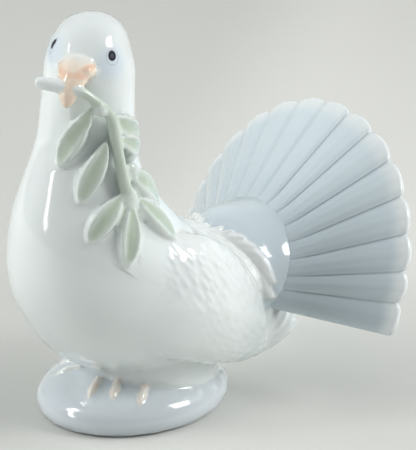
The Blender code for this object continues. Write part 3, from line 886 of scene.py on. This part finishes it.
def make_porcelain():
    """The bird, its mound and its sprig as one glazed skin."""
    form = Form()
    form.loft(body_rings(), CROWN, REAR)
    skin = skin_tree(form)
    form.loft(mound_rings(), (0, 0, 0), (0, 0, MOUND_HEIGHT), tint(lilac=1))
    form.loft(thigh_rings())
    rings, top, foot = ball(HUMP_MIDDLE, HUMP_RADII, 96, 64)
    form.loft(flared(rings), top, foot, tint(blue=1))
    add_wings(form)
    chart = Chart(form.arrays()[0], form.faces)
    rng = np.random.default_rng(7)
    for side in (1, -1):
        add_coverts(form, chart, side, rng)
        add_mantle(form, chart, side)
        add_flight(form, chart, side)
        add_toes(form, side)
        add_cere(form, side)
    add_beak(form)
    add_sprig(form, skin)
    return glazed("porcelain_dove", form)


# Materials. Lengths are in metres here, apart from places on the head.
class Nodes:
    """A material's node tree, with short calls for the nodes that the paint is made of."""

    def __init__(self, name):
        self.material = bpy.data.materials.new(name)
        self.material.use_nodes = True
        self.tree = self.material.node_tree
        self.shader = self.tree.nodes["Principled BSDF"]
        self.coordinates = self.tree.nodes.new("ShaderNodeTexCoord").outputs["Object"]

    def put(self, socket, value):
        if isinstance(value, bpy.types.NodeSocket):
            self.tree.links.new(value, socket)
        else:
            socket.default_value = value

    def attribute(self, name):
        node = self.tree.nodes.new("ShaderNodeAttribute")
        node.attribute_name = name
        return node.outputs["Fac"]

    def math(self, kind, a, b=0.0):
        node = self.tree.nodes.new("ShaderNodeMath")
        node.operation = kind
        self.put(node.inputs[0], a)
        self.put(node.inputs[1], b)
        return node.outputs[0]

    def times(self, a, b):
        return self.math("MULTIPLY", a, b)

    def vector(self, kind, a, b=(0, 0, 0)):
        node = self.tree.nodes.new("ShaderNodeVectorMath")
        node.operation = kind
        self.put(node.inputs[0], a)
        self.put(node.inputs[1], b)
        return node.outputs["Value"] if kind in ("DOT_PRODUCT", "LENGTH") else node.outputs["Vector"]

    def noise(self, scale, detail=3.0):
        node = self.tree.nodes.new("ShaderNodeTexNoise")
        node.inputs["Scale"].default_value = scale
        node.inputs["Detail"].default_value = detail
        node.inputs["Roughness"].default_value = 0.5
        self.put(node.inputs["Vector"], self.coordinates)
        return node.outputs["Fac"]

    def band(self, value, low, high, to_low=0.0, to_high=1.0):
        """Rise smoothly from one number to the other as the value goes from low to high."""
        node = self.tree.nodes.new("ShaderNodeMapRange")
        node.interpolation_type = "SMOOTHSTEP"
        self.put(node.inputs["Value"], value)
        for name, number in (("From Min", low), ("From Max", high), ("To Min", to_low), ("To Max", to_high)):
            node.inputs[name].default_value = number
        return node.outputs["Result"]

    def mix(self, share, a, b):
        node = self.tree.nodes.new("ShaderNodeMix")
        node.data_type = "RGBA"
        self.put(node.inputs[0], share)
        self.put(node.inputs[6], a if isinstance(a, bpy.types.NodeSocket) else (*a, 1))
        self.put(node.inputs[7], b if isinstance(b, bpy.types.NodeSocket) else (*b, 1))
        return node.outputs[2]

    def washed(self, colour, wash, *shares):
        """Lay a wash over the colour, as strong as the shares' product."""
        strength = shares[0]
        for share in shares[1:]:
            strength = self.times(strength, share)
        return self.mix(strength, colour, wash)

    def axis(self, name):
        node = self.tree.nodes.new("ShaderNodeSeparateXYZ")
        self.put(node.inputs[0], self.coordinates)
        return node.outputs[name]

    def along(self, way):
        return self.vector("DOT_PRODUCT", self.coordinates, tuple(way))

    def spot(self, middle, across, up, half_width, half_height):
        """Distance from a painted oval's middle, 1 at its rim; the middle is in millimetres."""
        offset = self.vector("SUBTRACT", self.coordinates, tuple(middle * MM))
        a = self.math("DIVIDE", self.vector("DOT_PRODUCT", offset, tuple(across)), half_width)
        b = self.math("DIVIDE", self.vector("DOT_PRODUCT", offset, tuple(up)), half_height)
        return self.math("SQRT", self.math("ADD", self.times(a, a), self.times(b, b)))

    def distance(self, middle):
        return self.vector("LENGTH", self.vector("SUBTRACT", self.coordinates, tuple(middle * MM)))

    def glaze(self, colour):
        """Fired colour under a clear, slightly uneven glaze."""
        shader = self.shader
        self.put(shader.inputs["Base Color"], colour)
        self.put(shader.inputs["Roughness"], self.band(self.noise(120, 4), 0.3, 0.7, 0.10, 0.17))
        shader.inputs["Coat Weight"].default_value = 1.0
        shader.inputs["Coat Roughness"].default_value = 0.03
        shader.inputs["Coat IOR"].default_value = 1.52
        shader.inputs["IOR"].default_value = 1.5
        shader.inputs["Subsurface Weight"].default_value = 0.12
        shader.inputs["Subsurface Radius"].default_value = (1.0, 0.9, 0.8)
        shader.inputs["Subsurface Scale"].default_value = 0.002
        bump = self.tree.nodes.new("ShaderNodeBump")
        bump.inputs["Strength"].default_value = 0.10
        bump.inputs["Distance"].default_value = 0.0002
        self.put(bump.inputs["Height"], self.noise(260, 2))
        self.put(shader.inputs["Normal"], bump.outputs["Normal"])


# The third white is painted light, laid over the upper rear of the body.
WHITE, CLOUDED_WHITE, LIT_BACK_WHITE = (0.80, 0.855, 0.845), (0.77, 0.82, 0.82), (0.86, 0.90, 0.89)
ROOT_BLUE, WING_BLUE, EYE_BLUE = (0.585, 0.69, 0.745), (0.55, 0.68, 0.70), (0.60, 0.73, 0.87)
LILAC = (0.58, 0.635, 0.68)
GREEN, CLOUDED_GREEN = (0.49, 0.59, 0.47), (0.47, 0.55, 0.44)
PEACH, PALE_PEACH = (0.90, 0.69, 0.52), (0.90, 0.80, 0.66)
CREASE_RED, NOSTRIL_RED = (0.85, 0.42, 0.25), (0.72, 0.34, 0.20)
# The second eye colour is a painted glint, the lighter grey in each pupil's middle.
EYE_RING, GLINT_GREY, EYE_EDGE = (0.30, 0.35, 0.42), (0.085, 0.095, 0.11), (0.022, 0.026, 0.034)
# The third fan blue is painted light, the lighter blue higher up on the fan.
FAN_BLUE, CLOUDED_FAN_BLUE, LIT_FAN_BLUE = (0.50, 0.585, 0.625), (0.53, 0.615, 0.655), (0.67, 0.765, 0.805)
FAN_RIM_WHITE, FAN_POOL_BLUE = (0.80, 0.84, 0.84), (0.50, 0.59, 0.65)


def plumage_colour(n):
    """White plumage and mound, whiter on the upper rear as painted light, with a blue tail root and a faint
    blue on the lower rear of the wing.
    """
    y, z = n.axis("Y"), n.axis("Z")
    colour = n.mix(n.band(n.noise(22), 0.35, 0.7), WHITE, CLOUDED_WHITE)
    # Painted light: the upper rear of the body is made whiter, where more light falls on it.
    colour = n.washed(colour, LIT_BACK_WHITE, n.band(y, -0.005, 0.020), n.band(z, 0.022, 0.050))
    colour = n.washed(colour, ROOT_BLUE, n.attribute("paint_blue"), 0.85)
    wing = n.times(n.band(y, 0.020, 0.036), n.band(z, 0.052, 0.022))
    colour = n.washed(colour, WING_BLUE, wing, n.band(y, 0.0395, 0.0375), 0.35)
    return n.washed(colour, LILAC, n.attribute("paint_lilac"), 0.8)


def halo_colour(n, colour):
    """A pale blue wash round each eye, a little below and before it."""
    look, _, up = head_axes()
    for middle, _, _, _ in eye_places():
        patch = middle - up * 2.2 + look * 0.8
        colour = n.washed(colour, EYE_BLUE, n.band(n.distance(patch), 0.0085, 0.0020), 0.45)
    return colour


def beak_colour(n, colour):
    """Peach beak and toes, with a reddish crease and nostrils at the beak's root."""
    look, left, up = head_axes()
    peach = n.times(n.attribute("paint_peach"), n.band(n.axis("Z"), 0.1420, 0.1368))
    tone = n.mix(n.band(n.noise(240, 2), 0.35, 0.7), PEACH, PALE_PEACH)
    colour = n.washed(colour, tone, peach, 0.85)
    crease = n.spot(CREASE, left, unit(up - look * 0.6), 0.0060, 0.0017)
    colour = n.washed(colour, CREASE_RED, n.band(crease, 1.15, 0.25), peach, 0.42)
    for side, share in ((-1, 0.30), (1, 0.42)):
        place = CREASE + left * side * 4.2 + up * 1.2
        slit = n.spot(place, unit(left - up * 0.35 * side), up, 0.0030, 0.0011)
        colour = n.washed(colour, NOSTRIL_RED, n.band(slit, 1.3, 0.3), peach, share)
    return colour


def eye_colour(n, colour):
    """Dark painted eyes, lighter grey in each pupil's middle as a painted glint, with a thin ring below each;
    a short reach keeps them off the head's far side.
    """
    for middle, across, tall, half_width in eye_places():
        near = n.band(n.distance(middle), 0.0062, 0.0048)
        ring = n.spot(middle - tall * 0.45, across, tall, half_width * 1.5, 0.0027)
        line = n.times(n.band(ring, 0.84, 0.98), n.band(ring, 1.16, 1.02))
        colour = n.washed(colour, EYE_RING, line, near, 0.32)
        pupil = n.spot(middle, across, tall, half_width, 0.00178)
        # Painted glint: each pupil is lighter grey in its middle and near black at its edge.
        pupil_with_glint = n.mix(n.band(pupil, 0.05, 0.75), GLINT_GREY, EYE_EDGE)
        colour = n.washed(colour, pupil_with_glint, n.band(pupil, 1.10, 0.90), near)
    return colour


def dove_material():
    n = Nodes("painted_porcelain")
    colour = halo_colour(n, plumage_colour(n))
    leaf_tone = n.mix(n.noise(300), GREEN, CLOUDED_GREEN)
    colour = n.washed(colour, leaf_tone, n.attribute("paint_green"), 0.95)
    n.glaze(eye_colour(n, beak_colour(n, colour)))
    return n.material


def fan_material():
    """Pale blue feathers, lighter towards the top as painted light, with a pale rim and colour pooled in the
    grooves.
    """
    n = Nodes("pale_blue_porcelain")
    colour = n.mix(n.band(n.noise(30), 0.3, 0.7), FAN_BLUE, CLOUDED_FAN_BLUE)
    # Painted light: the fan is made lighter higher up, where more light falls on it.
    colour = n.mix(n.band(n.axis("Z"), 0.035, 0.105), colour, LIT_FAN_BLUE)
    colour = n.washed(colour, FAN_RIM_WHITE, n.band(n.attribute("reach"), 0.90, 1.0), 0.9)
    colour = n.washed(colour, FAN_POOL_BLUE, n.band(n.attribute("groove"), 0.62, 1.0), 0.35)
    n.glaze(colour)
    return n.material


dove = make_porcelain()
tail = make_fan()
for piece, material in ((dove, dove_material()), (tail, fan_material())):
    piece.data.materials.clear()
    piece.data.materials.append(material)
    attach(piece, "root")
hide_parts("dove_figurine")


# Stage, in metres. The camera's bearing, height, distance and focal length were fitted to the photograph.
AZ, EL, DISTANCE, FOCAL_PIXELS, FRAME_PIXELS = math.radians(54.7), math.radians(21.3), 0.752, 2057, 450
TARGET = Vector((0, 0.0337, 0.0608))
LIT_POINT = Vector((0, 0, 0.07))
BACK_WAY, SIDE_WAY = Vector((-math.sin(AZ), math.cos(AZ), 0)), Vector((math.cos(AZ), math.sin(AZ), 0))
FLOOR_HALF_WIDTH, FLOOR_FRONT, FLOOR_BACK, FLOOR_BEND, WALL_HEIGHT = 2.5, 2.5, 1.1, 0.5, 2.5
PALE, CLOUDED_PALE = (0.665, 0.67, 0.64), (0.695, 0.70, 0.67)
# The two darker pales are painted shade, at the near left and the far right of the sweep.
SHADED_LEFT_PALE, SHADED_RIGHT_PALE = (0.50, 0.515, 0.49), (0.43, 0.435, 0.41)
# Softboxes: name, azimuth, elevation, distance, width, height, watts, whether it shows in the glaze, roll.
LIGHTS = (
    ("window_left", -11, 19, 1.3, 0.16, 0.74, 2.6, True, 28),
    ("window_high", -22, 39, 1.3, 0.15, 0.42, 1.9, True, 0),
    ("window_right", 133, 37, 1.3, 0.34, 0.38, 4.4, True, -25),
    ("wall_left", -50, 24, 1.4, 1.4, 1.2, 15, False, 0),
    ("wall_right", 156, 22, 1.4, 1.4, 1.2, 17, False, 0),
    ("top_fill", 55, 86, 1.6, 1.6, 1.6, 8.5, False, 0),
)
WORLD_COLOUR, WORLD_STRENGTH = (0.80, 0.82, 0.83, 1), 0.21


def bearing(azimuth, elevation):
    """The way out from the figure at this azimuth and elevation."""
    flat = math.cos(elevation)
    return Vector((math.sin(azimuth) * flat, -math.cos(azimuth) * flat, math.sin(elevation)))


def backdrop_material():
    """A pale matt sweep, with painted shade making it darker at the near left and the far right."""
    n = Nodes("pale_backdrop")
    pale = n.mix(n.noise(6, 2), PALE, CLOUDED_PALE)
    # Painted shade: the near left and the far right of the sweep are made darker.
    pale = n.washed(pale, SHADED_LEFT_PALE, n.band(n.along((-0.707, -0.707, 0)), -0.03, 0.06), 0.8)
    pale = n.mix(n.band(n.along(SIDE_WAY), -0.05, 0.45), pale, SHADED_RIGHT_PALE)
    n.put(n.shader.inputs["Base Color"], pale)
    n.shader.inputs["Roughness"].default_value = 0.65
    return n.material


def make_stage():
    """A floor that bends up into a wall behind the figure, as the camera sees it."""
    rows = [(-FLOOR_FRONT, 0.0), (FLOOR_BACK, 0.0)]
    for a in np.linspace(0, math.pi / 2, 16)[1:]:
        rows.append((FLOOR_BACK + FLOOR_BEND * math.sin(a), FLOOR_BEND * (1 - math.cos(a))))
    rows.append((FLOOR_BACK + FLOOR_BEND, WALL_HEIGHT))
    bm = bmesh.new()
    strip = []
    for back, height in rows:
        sides = [SIDE_WAY * side * FLOOR_HALF_WIDTH for side in (-1, 1)]
        strip.append([bm.verts.new(BACK_WAY * back + way + Vector((0, 0, height))) for way in sides])
    for a, b in zip(strip, strip[1:]):
        bm.faces.new((a[0], a[1], b[1], b[0]))
    mesh = bpy.data.meshes.new("floor")
    bm.to_mesh(mesh)
    bm.free()
    mesh.shade_smooth()
    mesh.materials.append(backdrop_material())
    floor = add_object("floor", mesh)


def make_camera():
    data = bpy.data.cameras.new("camera")
    camera = add_object("camera", data)
    back = bearing(AZ, EL)
    camera.location = TARGET + back * DISTANCE
    camera.rotation_euler = (-back).to_track_quat("-Z", "Y").to_euler()
    data.sensor_width = 36
    data.lens = FOCAL_PIXELS / FRAME_PIXELS * data.sensor_width
    data.clip_start = 0.01
    bpy.context.scene.camera = camera


def make_light(name, azimuth, elevation, distance, width, height, power, crisp, roll):
    """A softbox at this bearing from the figure, turned to face it; only a crisp one shows in the glaze."""
    data = bpy.data.lights.new(name, "AREA")
    data.shape = "RECTANGLE"
    data.size, data.size_y = width, height
    data.energy = power
    light = add_object(name, data)
    light.visible_glossy = crisp
    way = bearing(math.radians(azimuth), math.radians(elevation))
    light.location = LIT_POINT + way * distance
    spin = Matrix.Rotation(math.radians(roll), 3, "Z")
    light.rotation_euler = ((-way).to_track_quat("-Z", "Y").to_matrix() @ spin).to_euler()


def make_world():
    world = bpy.data.worlds.new("studio")
    bpy.context.scene.world = world
    world.use_nodes = True
    sky = world.node_tree.nodes["Background"]
    sky.inputs["Color"].default_value = WORLD_COLOUR
    sky.inputs["Strength"].default_value = WORLD_STRENGTH
    bpy.context.scene.view_settings.view_transform = "Standard"


make_stage()
make_camera()
for softbox in LIGHTS:
    make_light(*softbox)
make_world()
